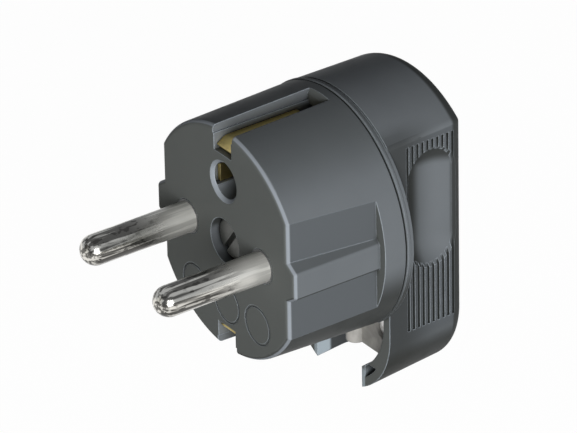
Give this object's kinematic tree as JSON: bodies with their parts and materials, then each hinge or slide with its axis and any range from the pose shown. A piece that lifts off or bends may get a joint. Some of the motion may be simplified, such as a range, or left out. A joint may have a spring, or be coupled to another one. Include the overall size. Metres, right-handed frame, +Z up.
{
  "type": "angled earthed mains plug",
  "caption": "Rewirable angled mains plug with round pins, side earth contacts, an earth-pin hole, a grooved grip on each side and a bottom cable outlet.",
  "frame": {"origin": "point between the line pins on the engaging face", "axes": "-Y along the pins, +Y into the plug, +Z up, cable outlet facing -Z"},
  "size_m": [0.0386, 0.0538, 0.0494],
  "materials": {
    "housing_plastic": "satin moulded plastic",
    "insulator_plastic": "moulded",
    "clamp_plastic": "moulded",
    "brass_strip": "rolled",
    "plated_pin": "polished nickel plating",
    "zinc_steel": "zinc plated"
  },
  "bodies": {
    "root": {"contact_carrier": "housing_plastic", "rear_shell": "housing_plastic", "pin_retainer": "insulator_plastic", "earth_bow": "brass_strip", "earth_socket_contact": "brass_strip", "contact_rivet": "brass_strip", "earth_terminal_clamp": "zinc_steel", "earth_terminal_screw": "zinc_steel", "housing_screw": "zinc_steel", "housing_nut": "zinc_steel", "cable_clamp_bar": "clamp_plastic", "line_pin_right": "plated_pin", "terminal_clamp_right": "zinc_steel", "terminal_screw_right": "zinc_steel", "retainer_screw_right": "zinc_steel", "clamp_screw_right": "zinc_steel", "line_pin_left": "plated_pin", "terminal_clamp_left": "zinc_steel", "terminal_screw_left": "zinc_steel", "retainer_screw_left": "zinc_steel", "clamp_screw_left": "zinc_steel"}
  },
  "joints": []
}
